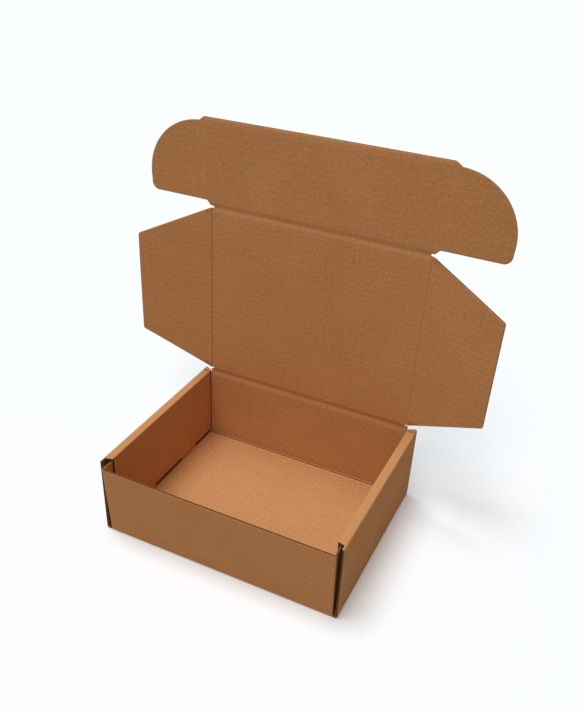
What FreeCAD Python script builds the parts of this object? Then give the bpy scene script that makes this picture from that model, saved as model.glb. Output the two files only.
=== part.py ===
"""Corrugated mailer box, open: a rolled-side tray with a hinged lid, dust flaps and a locking tuck flap.

Millimetres. X runs across the box, Y from front to back and Z up. The origin is on the table, under the
middle of the tray. The box is folded from one sheet, so neighbouring panels meet at crushed creases. Each
crease turns about a line close to the board's outer liner, and its inner side is opened to 45 degrees.
"""
import FreeCAD, Part
import math
import os

os.makedirs("parts", exist_ok=True)

# board and creases
board = 2.3                # thickness of the corrugated board
crease_nose = 0.5          # board left at a crushed crease
crease_gap = 0.8           # slit between two panels at a crease
crushed_board = 1.2        # thickness of the narrow crushed strip at a dust flap
fold_radius = 2.2          # outer radius of a fold that never moves
slide_clearance = 0.2      # between plies that slide past each other
rest_clearance = 0.35      # between panels that come to rest on each other

# tray
box_width = 261.5
box_depth = 203.8
side_height = 89.0
inner_ply_lift = 3.4       # daylight under the inner side plies
roll_front_setback = 7.4   # front end of the rolled edge, at the inner ply
roll_front_slant = 1.8     # how far that end runs forward towards the outer ply
roll_back_setback = 3.5
inner_ply_setback = 9.6    # front end of the inner ply, clear of the front wall when it is pushed in
inner_ply_back_gap = 3.4   # from the inner ply's back end to the back wall
back_setback = 2.4         # back wall, from the back ends of the side plies
corner_flap_length = 60.0
corner_flap_drop = 2.6     # how much lower a front corner flap's top is at its free end
corner_flap_rise = 5.0     # how much higher its bottom is there
tab_length = 31.0
tab_centres = (-41.0, 44.0)
slot_clearance = 0.4
front_height = 83.8
front_lean = 4.3           # degrees that the front wall springs outwards
front_crease_spread = 1.12 # the front crease opens wider, because its wall can be pushed past upright

# lid and its flaps
lid_length = 196.6
lid_lean = 0.8             # degrees that the open lid leans back
dust_crease_width = 3.0
dust_depth = 82.5
dust_start = 2.6           # from the lid's back crease to the dust flap's first corner
dust_back_cut = 39.5       # slope of the flap's back edge, over its depth
dust_front_cut = 41.5
dust_corner_radius = 3.0
left_dust_angle = 10.8     # degrees that each dust flap stands forward of the lid
right_dust_angle = 14.1
tuck_height = 88.8
tuck_angle = 1.1
tuck_top_half = 127.0
tuck_bevel = 4.4
notch_height = 5.2         # from the lid crease to the near edge of each ear
notch_width = 4.3
ear_reach = 63.0           # from its crease to its tip
ear_bow = 19.5             # how far the ear's curved edge bulges
ear_foot = 17.0            # height at which the curve ends, above the crease
ear_corner_radius = 8.0

pivot_depth = crease_nose / 2
half_gap = crease_gap / 2
outer_x = box_width / 2
front_y = -box_depth / 2
back_y = box_depth / 2
outer_ply_x = outer_x - board
ear_x = outer_ply_x - slide_clearance
corner_flap_x = ear_x - board - slide_clearance
roll_x = corner_flap_x - 2 * board - slide_clearance
back_face_y = back_y - back_setback
roll_underside = side_height - board
dust_pivot_x = roll_x - slide_clearance - pivot_depth
lid_edge_pivot_x = dust_pivot_x - dust_crease_width
ear_pivot_x = ear_x - pivot_depth
lid_pivot = FreeCAD.Vector(0, back_face_y - pivot_depth, side_height + rest_clearance + board - pivot_depth)
front_pivot = FreeCAD.Vector(0, front_y + pivot_depth, pivot_depth)
lower_back_top = roll_underside - rest_clearance
fold_run = 2 * fold_radius

X_AXIS = FreeCAD.Vector(1, 0, 0)
Z_AXIS = FreeCAD.Vector(0, 0, 1)
OVERCUT = 1.0


def vec(x, y, z):
    return FreeCAD.Vector(x, y, z)


def mirrored(shape):
    """The same shape on the other side of the box."""
    return shape.mirror(vec(0, 0, 0), X_AXIS)


def both_sides(shape):
    return [shape, mirrored(shape)]


def solid_of(shape):
    """The one solid of a fused or cut shape, without leftover seams."""
    return shape.removeSplitter().Solids[0]


def unit(vector):
    return vector * (1.0 / vector.Length)


def rounded_wire(points, radii):
    """A closed outline through the points, with an arc of the given radius at each corner (0 keeps it sharp)."""
    edges = []
    starts = []
    ends = []
    middles = []
    count = len(points)
    for i, corner in enumerate(points):
        to_last = unit(points[i - 1] - corner)
        to_next = unit(points[(i + 1) % count] - corner)
        half = to_last.getAngle(to_next) / 2
        run = radii[i] / math.tan(half)
        starts.append(corner + to_last * run)
        ends.append(corner + to_next * run)
        reach = radii[i] / math.sin(half) - radii[i]
        middles.append(corner + unit(to_last + to_next) * reach)
    for i in range(count):
        if radii[i]:
            edges.append(Part.Arc(starts[i], middles[i], ends[i]).toShape())
        edges.append(Part.LineSegment(ends[i], starts[(i + 1) % count]).toShape())
    return Part.Wire(edges)


def prism(points, direction, radii=None):
    """A solid swept along a direction from a flat outline."""
    wire = rounded_wire(points, radii or [0] * len(points))
    return Part.Face(wire).extrude(direction)


def box(low, high):
    size = high - low
    return Part.makeBox(size.x, size.y, size.z, low)


def panel(outline):
    """A flat panel stood up in the XZ plane about a pivot line at y = 0, outer liner towards +Y."""
    face = Part.Face(outline)
    face.translate(vec(0, pivot_depth, 0))
    return face.extrude(vec(0, -board, 0))


def opened_crease(start, end, inward):
    """What a 45 degree opening takes off a standing panel's inner side, along one pivot line."""
    nose_y = pivot_depth - crease_nose
    deep_y = pivot_depth - board - OVERCUT
    slope = nose_y - deep_y
    section = [
        start + inward * (half_gap - OVERCUT) + vec(0, nose_y, 0),
        start + inward * half_gap + vec(0, nose_y, 0),
        start + inward * (half_gap + slope) + vec(0, deep_y, 0),
        start + inward * (half_gap - OVERCUT) + vec(0, deep_y, 0),
    ]
    return prism(section, end - start)


def side_walls_and_base():
    """Base, outer plies, rolled top edges and inner plies: one band of board, swept from front to back."""
    lift = board + inner_ply_lift
    inner_back = roll_x + board
    right = [
        (outer_x, 0, fold_radius),
        (outer_x, side_height, fold_radius),
        (roll_x, side_height, board / 2),
        (roll_x, lift, 0),
        (inner_back, lift, 0),
        (inner_back, roll_underside, 0),
        (outer_ply_x, roll_underside, 0),
        (outer_ply_x, board, 0),
    ]
    left = [(-x, z, radius) for x, z, radius in reversed(right)]
    corners = right + left
    points = [vec(x, front_y, z) for x, z, radius in corners]
    return prism(points, vec(0, box_depth, 0), [radius for x, z, radius in corners])


def roll_end_cuts():
    """The rolled edge and inner ply stop short of the outer ply at both ends."""
    shoulder_y = front_y + roll_front_setback - roll_front_slant
    front = [
        vec(roll_x - OVERCUT, front_y - OVERCUT, board),
        vec(outer_ply_x, front_y - OVERCUT, board),
        vec(outer_ply_x, shoulder_y, board),
        vec(roll_x - OVERCUT, front_y + roll_front_setback, board),
    ]
    back = [
        vec(roll_x - OVERCUT, back_y + OVERCUT, board),
        vec(roll_x - OVERCUT, back_y - roll_back_setback, board),
        vec(outer_ply_x, back_y, board),
        vec(outer_ply_x, back_y + OVERCUT, board),
    ]
    up = vec(0, 0, side_height)
    inner_ply_back = box(
        vec(roll_x - OVERCUT, back_face_y - board - inner_ply_back_gap, board),
        vec(corner_flap_x - board, back_y + OVERCUT, roll_underside),
    )
    inner_ply_front = box(
        vec(roll_x - OVERCUT, front_y - OVERCUT, board),
        vec(corner_flap_x - board, front_y + inner_ply_setback, roll_underside),
    )
    return [prism(front, up), prism(back, up), inner_ply_back, inner_ply_front]


def base_end_cuts():
    """The base stops at the front crease, and under the back wall."""
    reach = corner_flap_x + slide_clearance
    front_edge = front_pivot.y + half_gap
    depth = board + OVERCUT - crease_nose
    section = [
        vec(-reach, front_y - OVERCUT, -OVERCUT),
        vec(-reach, front_edge, -OVERCUT),
        vec(-reach, front_edge, crease_nose),
        vec(-reach, front_edge + depth * front_crease_spread, board + OVERCUT),
        vec(-reach, front_y - OVERCUT, board + OVERCUT),
    ]
    front = prism(section, vec(2 * reach, 0, 0))
    back = box(vec(-reach, back_face_y - fold_run, -OVERCUT), vec(reach, back_y + OVERCUT, board))
    return [front, back]


def back_wall():
    """Back wall, its fold into the base, and the corner flaps that turn forward between the side plies."""
    reach = corner_flap_x
    fold_start = back_face_y - fold_run
    fold_top = fold_run + OVERCUT
    corner = [
        vec(-reach, fold_start, 0),
        vec(-reach, back_face_y, 0),
        vec(-reach, back_face_y, fold_top),
        vec(-reach, back_face_y - board, fold_top),
        vec(-reach, back_face_y - board, board),
        vec(-reach, fold_start, board),
    ]
    fold = prism(corner, vec(2 * reach, 0, 0), [0, fold_radius, 0, 0, 0, 0])
    flap_front = back_face_y - corner_flap_length
    plan = [
        (-reach, flap_front, 0),
        (-reach, back_face_y, fold_radius),
        (reach, back_face_y, fold_radius),
        (reach, flap_front, 0),
        (reach - board, flap_front, 0),
        (reach - board, back_face_y - board, 0),
        (board - reach, back_face_y - board, 0),
        (board - reach, flap_front, 0),
    ]
    points = [vec(x, y, fold_run) for x, y, radius in plan]
    wall = prism(points, vec(0, 0, lower_back_top - fold_run), [radius for x, y, radius in plan])
    tongue_x = roll_x - rest_clearance
    tongue = box(
        vec(-tongue_x, back_face_y - board, lower_back_top - OVERCUT),
        vec(tongue_x, back_face_y, lid_pivot.z - half_gap),
    )
    opening = opened_crease(vec(-outer_x, 0, 0), vec(outer_x, 0, 0), vec(0, 0, -1))
    opening.translate(lid_pivot)
    return wall.fuse([fold, tongue.cut(opening)])


def tab_range(centre, clearance=0.0):
    return centre - tab_length / 2 - clearance, centre + tab_length / 2 + clearance


def lock_tabs():
    """Tabs at the foot of each inner ply, down through the base."""
    tabs = []
    top = 2 * board + inner_ply_lift
    for centre in tab_centres:
        near, far = tab_range(centre)
        tab = box(vec(roll_x, near, slide_clearance), vec(roll_x + board, far, top))
        tabs += both_sides(tab)
    return tabs


def tab_slots():
    slots = []
    for centre in tab_centres:
        near, far = tab_range(centre, slot_clearance)
        low = vec(roll_x - slot_clearance, near, -OVERCUT)
        high = vec(roll_x + board + slot_clearance, far, board + inner_ply_lift / 2)
        slots += both_sides(box(low, high))
    return slots


def make_tray():
    cuts = base_end_cuts() + tab_slots()
    for cut in roll_end_cuts():
        cuts += both_sides(cut)
    body = side_walls_and_base().cut(cuts)
    return solid_of(body.fuse([back_wall()] + lock_tabs()))


def make_front_wall():
    """Front wall and the two corner flaps that turn back between the side plies."""
    reach = corner_flap_x
    flap_back = front_y + corner_flap_length
    plan = [
        (-reach, flap_back, 0),
        (-reach, front_y, fold_radius),
        (reach, front_y, fold_radius),
        (reach, flap_back, 0),
        (reach - board, flap_back, 0),
        (reach - board, front_y + board, 0),
        (board - reach, front_y + board, 0),
        (board - reach, flap_back, 0),
    ]
    foot = front_pivot.z + half_gap
    points = [vec(x, y, foot) for x, y, radius in plan]
    walls = prism(points, vec(0, 0, front_height - foot), [radius for x, y, radius in plan])
    wall_back = front_y + board
    flap_foot = board + rest_clearance
    under = [
        vec(-outer_x, wall_back, -OVERCUT),
        vec(-outer_x, wall_back, flap_foot),
        vec(-outer_x, flap_back + OVERCUT, flap_foot + corner_flap_rise),
        vec(-outer_x, flap_back + OVERCUT, -OVERCUT),
    ]
    over = [
        vec(-outer_x, wall_back, front_height + OVERCUT),
        vec(-outer_x, wall_back, front_height),
        vec(-outer_x, flap_back + OVERCUT, front_height - corner_flap_drop),
        vec(-outer_x, flap_back + OVERCUT, front_height + OVERCUT),
    ]
    depth = board + OVERCUT - crease_nose
    crease = [
        vec(-outer_x, front_y + crease_nose, foot - OVERCUT),
        vec(-outer_x, front_y + crease_nose, foot),
        vec(-outer_x, front_y + crease_nose + depth, foot + depth * front_crease_spread),
        vec(-outer_x, front_y + crease_nose + depth, foot - OVERCUT),
    ]
    across = vec(box_width, 0, 0)
    wall = solid_of(walls.cut([prism(under, across), prism(over, across), prism(crease, across)]))
    wall.rotate(front_pivot, X_AXIS, front_lean)
    return wall


def on_open_lid(shape):
    """Carries a shape from the lid's own frame, upright on its pivot line, to the open lid."""
    shape.rotate(vec(0, 0, 0), X_AXIS, -lid_lean)
    shape.translate(lid_pivot)
    return shape


def rectangle(half_width, low, high):
    corners = [(-half_width, low), (half_width, low), (half_width, high), (-half_width, high)]
    return rounded_wire([vec(x, 0, z) for x, z in corners], [0] * 4)


def make_lid():
    half = lid_edge_pivot_x - half_gap
    lid = panel(rectangle(half, half_gap, lid_length - half_gap))
    edge = vec(lid_edge_pivot_x, 0, -OVERCUT)
    top = vec(0, 0, lid_length + 2 * OVERCUT)
    side_opening = opened_crease(edge, edge + top, vec(-1, 0, 0))
    across = vec(outer_x, 0, 0)
    back_opening = opened_crease(-across, across, vec(0, 0, 1))
    front = vec(0, 0, lid_length)
    front_opening = opened_crease(front - across, front + across, vec(0, 0, -1))
    lid = lid.cut(both_sides(side_opening) + [back_opening, front_opening])
    return on_open_lid(solid_of(lid))


def make_dust_crease():
    """The crushed strip between the lid and the right dust flap, in the frame of its own inner pivot."""
    low = dust_start
    high = lid_length - dust_start
    strip = box(
        vec(half_gap, pivot_depth - crushed_board, low),
        vec(dust_crease_width - half_gap, pivot_depth, high),
    )
    start = vec(0, 0, low - OVERCUT)
    end = vec(0, 0, high + OVERCUT)
    across = vec(dust_crease_width, 0, 0)
    near = opened_crease(start, end, X_AXIS)
    far = opened_crease(start + across, end + across, vec(-1, 0, 0))
    return solid_of(strip.cut([near, far]))


def make_dust_flap():
    """The right dust flap, flat, in the frame of the crushed strip's inner pivot."""
    near = dust_crease_width + half_gap
    far = dust_crease_width + dust_depth
    low = dust_start
    high = lid_length - dust_start
    corners = [
        (near, low, 0),
        (far, dust_back_cut, dust_corner_radius),
        (far, lid_length - dust_front_cut, dust_corner_radius),
        (near, high, 0),
    ]
    outline = rounded_wire([vec(x, 0, z) for x, z, radius in corners], [radius for x, z, radius in corners])
    start = vec(dust_crease_width, 0, low - OVERCUT)
    end = vec(dust_crease_width, 0, high + OVERCUT)
    return solid_of(panel(outline).cut(opened_crease(start, end, X_AXIS)))


def beside_lid(shape, angle):
    """Stands a right-hand dust piece at its angle to the lid, at the lid's right edge."""
    shape.rotate(vec(0, 0, 0), Z_AXIS, -angle)
    shape.translate(vec(lid_edge_pivot_x, 0, 0))
    return shape


def on_tuck(shape):
    """Carries a shape from the tuck flap's frame, on its pivot line, to the open lid's far end."""
    shape.rotate(vec(0, 0, 0), X_AXIS, tuck_angle)
    shape.translate(vec(0, 0, lid_length))
    return on_open_lid(shape)


def make_tuck_flap():
    half = ear_pivot_x - half_gap
    root = dust_pivot_x
    corners = [
        (-root, half_gap),
        (root, half_gap),
        (root + notch_width, notch_height),
        (half, notch_height),
        (half, tuck_height - (half - tuck_top_half)),
        (tuck_top_half, tuck_height),
    ]
    corners += [(-x, z) for x, z in reversed(corners[2:])]
    outline = rounded_wire([vec(x, 0, z) for x, z in corners], [0] * len(corners))
    across = vec(outer_x, 0, 0)
    lid_opening = opened_crease(-across, across, vec(0, 0, 1))
    edge = vec(ear_pivot_x, 0, 0)
    ear_opening = opened_crease(edge, edge + vec(0, 0, tuck_height), vec(-1, 0, 0))
    flap = panel(outline).cut([lid_opening] + both_sides(ear_opening))
    return on_tuck(solid_of(flap))


def make_lock_ear():
    """The right lock ear, in the tuck flap's frame: straight near edge, rounded tip and a bowed far edge."""
    near = ear_pivot_x + half_gap
    tip = ear_pivot_x + ear_reach
    top = tuck_height - (near - tuck_top_half)
    shoulder = vec(near + tuck_bevel, 0, tuck_height - tuck_bevel)
    root_low = vec(near, 0, notch_height)
    root_high = vec(near, 0, top)
    radius = ear_corner_radius
    corner_start = vec(tip - radius, 0, notch_height)
    corner_end = vec(tip, 0, notch_height + radius)
    slant = radius * math.sqrt(0.5)
    corner_middle = vec(tip - radius + slant, 0, notch_height + radius - slant)
    foot = vec(tip, 0, ear_foot)
    chord = foot - shoulder
    bulge = unit(vec(-chord.z, 0, chord.x)) * ear_bow
    bow = (foot + shoulder) * 0.5 + bulge
    edges = [
        Part.LineSegment(root_low, corner_start).toShape(),
        Part.Arc(corner_start, corner_middle, corner_end).toShape(),
        Part.LineSegment(corner_end, foot).toShape(),
        Part.Arc(foot, bow, shoulder).toShape(),
        Part.LineSegment(shoulder, root_high).toShape(),
        Part.LineSegment(root_high, root_low).toShape(),
    ]
    edge = vec(ear_pivot_x, 0, 0)
    opening = opened_crease(edge, edge + vec(0, 0, tuck_height), X_AXIS)
    return solid_of(panel(Part.Wire(edges)).cut(opening))


def dust_pieces():
    """Both dust flaps and their crushed strips, each side at its own angle."""
    pieces = {}
    for side, angle in (("right", right_dust_angle), ("left", left_dust_angle)):
        for name, make in (("dust_crease", make_dust_crease), ("dust_flap", make_dust_flap)):
            piece = beside_lid(make(), angle)
            if side == "left":
                piece = mirrored(piece)
            pieces[side + "_" + name] = on_open_lid(piece)
    return pieces


def all_nodes():
    nodes = {
        "tray": make_tray(),
        "front_wall": make_front_wall(),
        "lid": make_lid(),
        "tuck_flap": make_tuck_flap(),
        "right_lock_ear": on_tuck(make_lock_ear()),
        "left_lock_ear": on_tuck(mirrored(make_lock_ear())),
    }
    nodes.update(dust_pieces())
    return nodes


for node_name, node_shape in all_nodes().items():
    node_shape.exportStep("parts/" + node_name + ".step")
    size = node_shape.BoundBox
    extent = "%.1f x %.1f x %.1f" % (size.XLength, size.YLength, size.ZLength)
    print(node_name, node_shape.isValid(), round(node_shape.Volume), extent, len(node_shape.Faces))
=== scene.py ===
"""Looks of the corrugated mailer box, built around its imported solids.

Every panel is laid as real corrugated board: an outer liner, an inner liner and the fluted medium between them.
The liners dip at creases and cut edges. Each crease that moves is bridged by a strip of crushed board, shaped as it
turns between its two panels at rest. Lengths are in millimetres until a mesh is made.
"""
import bpy
import math
import numpy as np
from mathutils import Matrix, Vector


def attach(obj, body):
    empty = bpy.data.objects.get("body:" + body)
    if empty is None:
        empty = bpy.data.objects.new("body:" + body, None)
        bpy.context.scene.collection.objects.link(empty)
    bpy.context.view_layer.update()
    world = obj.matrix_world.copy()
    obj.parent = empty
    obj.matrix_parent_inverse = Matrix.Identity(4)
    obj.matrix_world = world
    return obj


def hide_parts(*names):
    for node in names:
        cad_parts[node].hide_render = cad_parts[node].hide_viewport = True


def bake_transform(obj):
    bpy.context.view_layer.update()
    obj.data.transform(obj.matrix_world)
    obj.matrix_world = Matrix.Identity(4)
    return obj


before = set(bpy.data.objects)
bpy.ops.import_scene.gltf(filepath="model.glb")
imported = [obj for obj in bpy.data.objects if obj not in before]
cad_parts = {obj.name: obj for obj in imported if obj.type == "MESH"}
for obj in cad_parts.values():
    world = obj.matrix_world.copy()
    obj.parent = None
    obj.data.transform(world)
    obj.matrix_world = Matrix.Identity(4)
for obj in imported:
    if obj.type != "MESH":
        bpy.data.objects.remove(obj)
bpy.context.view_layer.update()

MM = 0.001

# board
BOARD = 2.3
LINER = 0.28
MEDIUM = 0.2
FLUTE_PITCH = 6.5
FLUTE_STEPS = 8
PIVOT_DEPTH = 0.25
CREASE_REACH = 2.2         # a moving crease bends over this distance on each side
NARROW_REACH = 0.6         # the same where the lid meets a dust flap's crushed strip
CREASE_DIP = 0.1           # how far the outer liner sinks at a crease
EAR_CREASE_DIP = 0.4       # the same at the lock ears, whose creases slide past the side walls
EDGE_RUN = 0.9             # a die-cut edge is pinched, and darkened with painted shade, over this distance
OUTER_PINCH = 0.2
INNER_PINCH = 0.5
FOLD_SLACK = 0.15          # a fold is crushed to its radius less this

# the solids' own sizes
OUTER_X = 130.75
FRONT_Y = -101.9
BACK_Y = 101.9
SIDE_HEIGHT = 89.0
FOLD_RADIUS = 2.2
ROLL_X = 120.95
OUTER_PLY_X = 128.45
FLAP_X = 125.75
BACK_FACE_Y = 99.5
LOWER_BACK_TOP = 86.35
SLIDE = 0.2
REST_GAP = 0.35
PLY_BOTTOM = 5.7
PLY_BACK_GAP = 3.4
TAB_BOTTOM = 0.2
TABS = ((-56.5, -25.5), (28.5, 59.5))
SLOT_GAP = 0.4
ROLL_FRONT = (5.6, 7.4)    # front end of the roll, at the outer ply and at the inner ply
ROLL_BACK = 3.5
PLY_FRONT = 9.6
CORNER_FLAP = 60.0
FRONT_HEIGHT = 83.8
FRONT_LEAN = 4.3
FLAP_FOOT = 2.65
FLAP_RISE = 5.0
FLAP_DROP = 2.6
LID_PIVOT = (0.0, 99.25, 91.4)
FRONT_PIVOT = (0.0, -101.65, 0.25)
LID_LENGTH = 196.6
LID_LEAN = 0.8
LID_EDGE = 117.5
DUST_CREASE = 3.0
DUST_DEPTH = 82.5
DUST_START = 2.6
DUST_BACK_CUT = 39.5
DUST_FRONT_CUT = 41.5
DUST_RADIUS = 3.0
DUST_ANGLES = {"left": 10.8, "right": 14.1}
TUCK_HEIGHT = 88.8
TUCK_ANGLE = 1.1
TUCK_TOP = 127.0
TUCK_BEVEL = 4.4
NOTCH_HEIGHT = 5.2
NOTCH_WIDTH = 4.3
EAR_PIVOT = 128.0
EAR_REACH = 63.0
EAR_BOW = 19.5
EAR_FOOT = 17.0
EAR_RADIUS = 8.0

# what follows from them
TONGUE_X = ROLL_X - REST_GAP
TUCK_ROOT = LID_EDGE + DUST_CREASE
EAR_NEAR = EAR_PIVOT + 0.4
FRONT_FOOT = FRONT_PIVOT[2] + 0.4
LID_BLANK = (0.0, BACK_FACE_Y + LID_PIVOT[2])
TUCK_BLANK = (0.0, LID_BLANK[1] + LID_LENGTH)

# creases seen from inside
STRIP_REACH = 2.0
DUST_GROOVE_MIDDLE = 1.7
DUST_GROOVE_REACH = 2.2
DUST_DIP = 0.55
# painted shade: a dark line down each dust crease, stronger on the left
DUST_SHADES = {"left": 0.3, "right": 0.13}
DUST_SHADE_REACH = 1.3
FRONT_SINK_REACH = 4.4     # base and front wall are thinner this far from their crease
FRONT_SINK = 0.45
FRONT_LINE = 0.5
HEEL_GROOVE = 0.9
HEEL_GROOVE_REACH = 0.75
# painted shade: the dark line in the heel groove at the foot of the back wall
HEEL_SHADE = 0.7
HEEL_GROOVE_SHIFT = 0.7    # the groove lies this far up the back wall from the middle of its fold
GAP_SHADE = 0.85           # painted shade: how dark the board lies behind the inner plies
HOLLOW_SHADE = 0.75        # and inside the rolled edges and beside the corner flaps
SCORE_REACH = 6.0          # the board round the lid's two long creases is softened this far out
SCORE_DIP = 0.85
SCORE_LINE = 0.3
BACK_SCORE = -2.0          # middle of the sunk line, from the pivot line of each long crease
FRONT_SCORE = -1.2

# FLUTES faces (the medium and the liners' faces towards it) are near-black as painted shade inside the board
OUTSIDE, INSIDE, CUT, FLUTES = range(4)


def smooth(x):
    x = np.clip(x, 0.0, 1.0)
    return x * x * (3 - 2 * x)


class Piece:
    """Collects the faces of one piece, with the numbers that its materials read."""

    def __init__(self):
        self.points = []
        self.sheet = []
        self.marks = []
        self.faces = []
        self.kinds = []
        self.count = 0

    def grid(self, points, sheet, marks, kind, away):
        """Faces over a grid of points, turned away from the grid given as away."""
        rows, columns = points.shape[:2]
        start = self.count
        self.points.append(points.reshape(-1, 3))
        self.sheet.append(sheet.reshape(-1, 3))
        self.marks.append(marks.reshape(-1, 3))
        self.count += rows * columns
        across = np.linalg.norm(points[:, 1:] - points[:, :-1], axis=2) > 1e-4
        along = np.linalg.norm(points[1:] - points[:-1], axis=2) > 1e-4
        normal = np.cross(points[:-1, 1:] - points[1:, :-1], points[1:, 1:] - points[:-1, :-1])
        outward = (points - away)[:-1, :-1]
        flip = np.sum(normal * outward) > 0
        for i in range(rows - 1):
            for j in range(columns - 1):
                a = start + i * columns + j
                face = self.unrepeated([a, a + 1, a + columns + 1, a + columns], across[i, j], along[i, j + 1],
                                       across[i + 1, j], along[i, j])
                if len(face) > 2:
                    self.faces.append(face[::-1] if flip else face)
                    self.kinds.append(kind)

    @staticmethod
    def unrepeated(corners, *lengths):
        """A quad's corners without those that coincide with the corner before them."""
        return [c for c, long_enough in zip(corners[1:] + corners[:1], lengths) if long_enough]

    def slab(self, top, low, sheet, marks, kinds):
        """A closed thin solid between two grids: top face, low face and walls round them."""
        self.grid(top, sheet, marks, kinds[0], low)
        self.grid(low, sheet + np.array([0, 0, 40.0]), marks, kinds[1], top)
        middle = (top[1:-1, 1:-1].mean(axis=(0, 1)) if min(top.shape[:2]) > 2 else top.mean(axis=(0, 1)))
        for pick in (np.s_[0, :], np.s_[-1, :], np.s_[:, 0], np.s_[:, -1]):
            wall = np.stack([top[pick], low[pick]])
            inner = wall + (middle - wall) * 0.01
            pair = np.stack([sheet[pick], sheet[pick] + np.array([0, 0, 1.0])])
            unshaded = marks[pick] * np.array([1, 1, 0])
            self.grid(wall, pair, np.stack([unshaded] * 2), kinds[2], inner)

    def finish(self, name, materials):
        mesh = bpy.data.meshes.new(name)
        points = np.concatenate(self.points) * MM
        mesh.from_pydata(points.tolist(), [], self.faces)
        for label, values in (("sheet", self.sheet), ("marks", self.marks)):
            attribute = mesh.attributes.new(label, "FLOAT_VECTOR", "POINT")
            attribute.data.foreach_set("vector", np.concatenate(values).astype(np.float32).ravel())
        for material in materials:
            mesh.materials.append(material)
        mesh.polygons.foreach_set("material_index", self.kinds)
        mesh.polygons.foreach_set("use_smooth", [kind != CUT for kind in self.kinds])
        mesh.update()
        piece = bpy.data.objects.new(name, mesh)
        bpy.context.scene.collection.objects.link(piece)
        return piece


def spaced(low, high, step):
    return np.linspace(low, high, max(2, int(math.ceil((high - low) / step)) + 1))


def flute_rows(low, high):
    """Rows that follow the flutes' waves, ending exactly at low and high."""
    step = FLUTE_PITCH / FLUTE_STEPS
    inner = np.arange(math.ceil((low + 0.05) / step), math.floor((high - 0.05) / step) + 1) * step
    return np.concatenate([[low], inner, [high]])


def columns_of(rows, low, high, stations, soft):
    """Each row's places across the flutes' length, between its two ends."""
    made = []
    for t in rows:
        left, right = low(t), high(t)
        half = max(0.0, (right - left) / 2)
        start = [left + min(x, half) for x in (0, 0.3, EDGE_RUN)] if soft[0] else [left]
        end = [right - min(x, half) for x in (EDGE_RUN, 0.3, 0)] if soft[1] else [right]
        made.append(np.concatenate([start, np.clip(stations, start[-1], end[0]), end]))
    return np.array(made)


def open_to_light(s):
    return 0.0


def lay_board(piece, ends, low, high, stations, place, press, soft=(True, True), soft_rows=(True, True), extra=(),
              blank=(0.0, 0.0), hidden_outside=open_to_light, hidden_inside=open_to_light):
    """One stretch of board. Rows of constant t run along the flutes, from s = low(t) to s = high(t).

    place(s, t, depth) gives points, and press(s, t) gives the board's thickness, how much it is creased and how dark
    the painted shade in the crease's line is. blank is where s = 0, t = 0 lies on the flat sheet that the box is cut
    from, so that the paper runs on across creases. hidden_outside(s) and hidden_inside(s) give how dark the painted
    shade on each side is where it lies in a hollow between plies.
    """
    start, stop = ends
    pinched = [start + 0.3, start + EDGE_RUN] * soft_rows[0] + [stop - EDGE_RUN, stop - 0.3] * soft_rows[1]
    marks = [t for t in list(extra) + pinched if start + 0.05 < t < stop - 0.05]
    liner_rows = np.unique(np.concatenate([spaced(start, stop, 9.0), marks]))
    medium_rows = np.unique(np.concatenate([flute_rows(start, stop), [t for t in extra if start < t < stop]]))

    def form(rows):
        s = columns_of(rows, low, high, stations, soft)
        t = np.repeat(rows[:, None], s.shape[1], axis=1)
        edge = np.full(s.shape, EDGE_RUN)
        if soft[0]:
            edge = np.minimum(edge, s - s[:, :1])
        if soft[1]:
            edge = np.minimum(edge, s[:, -1:] - s)
        if soft_rows[0]:
            edge = np.minimum(edge, t - start)
        if soft_rows[1]:
            edge = np.minimum(edge, stop - t)
        # how near a cut edge is: the board is pinched there, and the material darkens it as painted shade
        edge_pinch_and_shade = (1 - edge / EDGE_RUN) ** 2
        thick, crease, shade = press(s, t)
        top = CREASE_DIP * crease + OUTER_PINCH * edge_pinch_and_shade
        bottom = np.maximum(thick - INNER_PINCH * edge_pinch_and_shade, top + 0.3)
        sheet = np.stack([s + blank[0], t + blank[1], np.zeros_like(s)], axis=2)
        marks = np.stack([crease, edge_pinch_and_shade, shade], axis=2)
        return s, t, top, bottom, sheet, marks

    s, t, top, bottom, sheet, marks = form(liner_rows)
    liner = np.minimum(LINER, (bottom - top) / 2.5)
    outside, inside = marks.copy(), marks.copy()
    outside[..., 2] += hidden_outside(s)
    inside[..., 2] += hidden_inside(s)
    piece.slab(place(s, t, top), place(s, t, top + liner), sheet, outside, (OUTSIDE, FLUTES, CUT))
    turned = sheet + np.array([0, 0, 90.0])
    piece.slab(place(s, t, bottom), place(s, t, bottom - liner), turned, inside, (INSIDE, FLUTES, CUT))

    s, t, top, bottom, sheet, marks = form(medium_rows)
    liner = np.minimum(LINER, (bottom - top) / 2.5)
    room = np.maximum(bottom - top - 2 * liner - MEDIUM, 0.0)
    middle = top + liner + MEDIUM / 2 + room * (0.5 + 0.5 * np.cos(2 * math.pi * t / FLUTE_PITCH))
    half = np.minimum(MEDIUM, (bottom - top) / 6) / 2
    piece.slab(place(s, t, middle - half), place(s, t, middle + half), sheet, marks, (FLUTES, FLUTES, FLUTES))


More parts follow.
